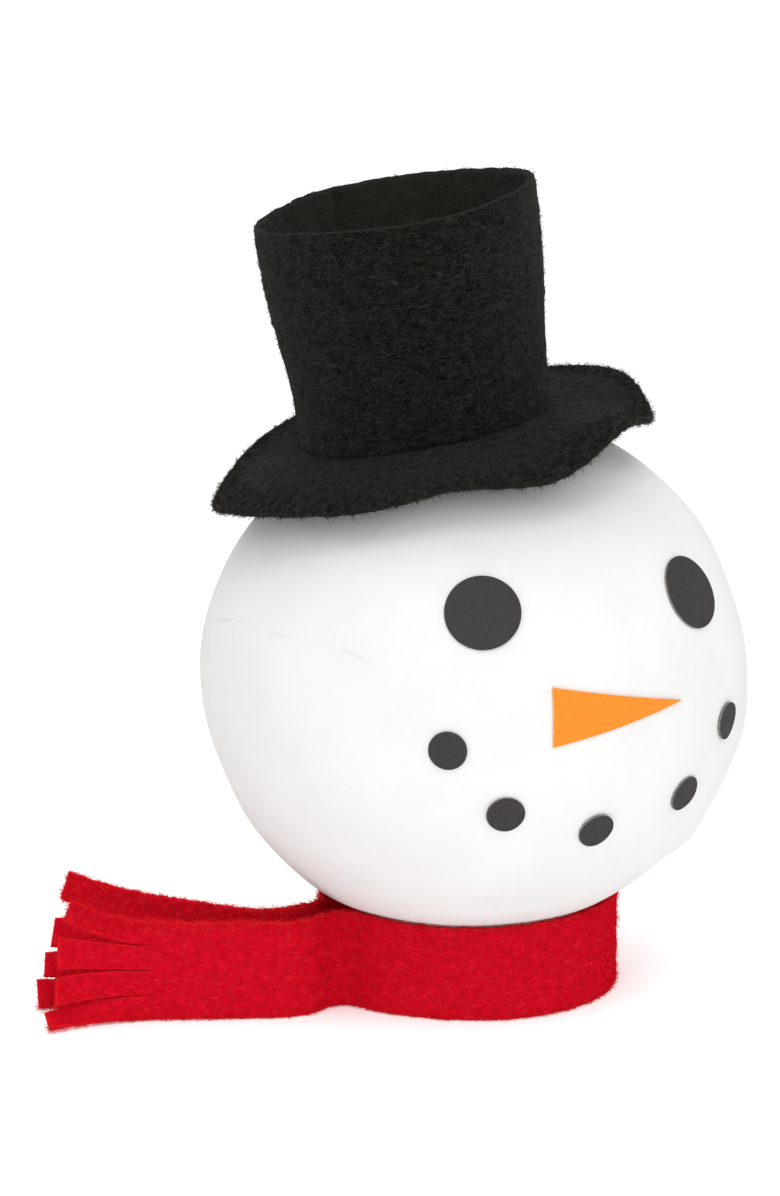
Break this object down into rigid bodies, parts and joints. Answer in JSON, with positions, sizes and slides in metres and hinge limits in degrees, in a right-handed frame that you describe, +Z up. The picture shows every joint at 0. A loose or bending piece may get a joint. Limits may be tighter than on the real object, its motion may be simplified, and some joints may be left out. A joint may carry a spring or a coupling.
{
  "type": "snowman head table decoration",
  "caption": "Wound white crepe paper snowman head with card face, open black felt top hat, and a red felt scarf loop as its stand.",
  "frame": {"origin": "on the standing surface, under the centre of the ball", "axes": "+Z up, -Y the way the face looks, +X towards the wearer's left"},
  "size_m": [0.1267, 0.0942, 0.1393],
  "materials": {
    "white_crepe": "fine crepe paper, matte, faint strip edges",
    "inner_crepe": "wound crepe paper, matte",
    "black_card": "matte card",
    "orange_paper": "smooth coloured paper",
    "black_felt": "needled craft felt with loose fibres",
    "red_felt": "thick brushed craft felt with loose fibres",
    "hot_glue": "set hot-melt glue, milky",
    "core_wood": "plain turned wood",
    "top_wood": "painted turned wood",
    "ring_plastic": "glossy moulded plastic",
    "die_plastic": "glossy moulded plastic",
    "gem_glass": "faceted glass",
    "scroll_paper": "rolled paper slip"
  },
  "bodies": {
    "collar": {"scarf_loop": "red_felt", "scarf_glue_bead": "hot_glue"},
    "head": {"crepe_outer_wrap": "white_crepe", "crepe_middle_wrap": "inner_crepe", "crepe_inner_wrap": "inner_crepe", "core_ball": "core_wood", "toy_ring": "ring_plastic", "toy_die": "die_plastic", "glass_gem": "gem_glass", "spinning_top": "top_wood", "paper_scroll": "scroll_paper", "left_eye": "black_card", "right_eye": "black_card", "nose": "orange_paper", "mouth_dot_1": "black_card", "mouth_dot_2": "black_card", "mouth_dot_3": "black_card", "mouth_dot_4": "black_card", "mouth_dot_5": "black_card"},
    "hat": {"hat_crown": "black_felt", "hat_brim": "black_felt", "crown_glue_ring": "hot_glue"},
    "front_tail": {"scarf_front_tail": "red_felt"},
    "back_tail": {"scarf_back_tail": "red_felt"}
  },
  "joints": [
    {"name": "head_turn", "type": "hinge", "parent": "collar", "child": "head", "pos_m": [0, 0, 0.055], "axis": [-0.1519, 0.0645, 0.9863], "continuous": true},
    {"name": "hat_lift", "type": "slide", "parent": "head", "child": "hat", "axis": [-0.1519, 0.0645, 0.9863], "range_m": [0, 0.06]},
    {"name": "front_tail_swing", "type": "hinge", "parent": "collar", "child": "front_tail", "pos_m": [-0.03005, -0.00285, 0], "axis": [0, 0, 1], "range_deg": [-5, 35]},
    {"name": "back_tail_swing", "type": "hinge", "parent": "collar", "child": "back_tail", "pos_m": [-0.02938, 0.00011, 0], "axis": [0, 0, -1], "range_deg": [-5, 35]}
  ]
}
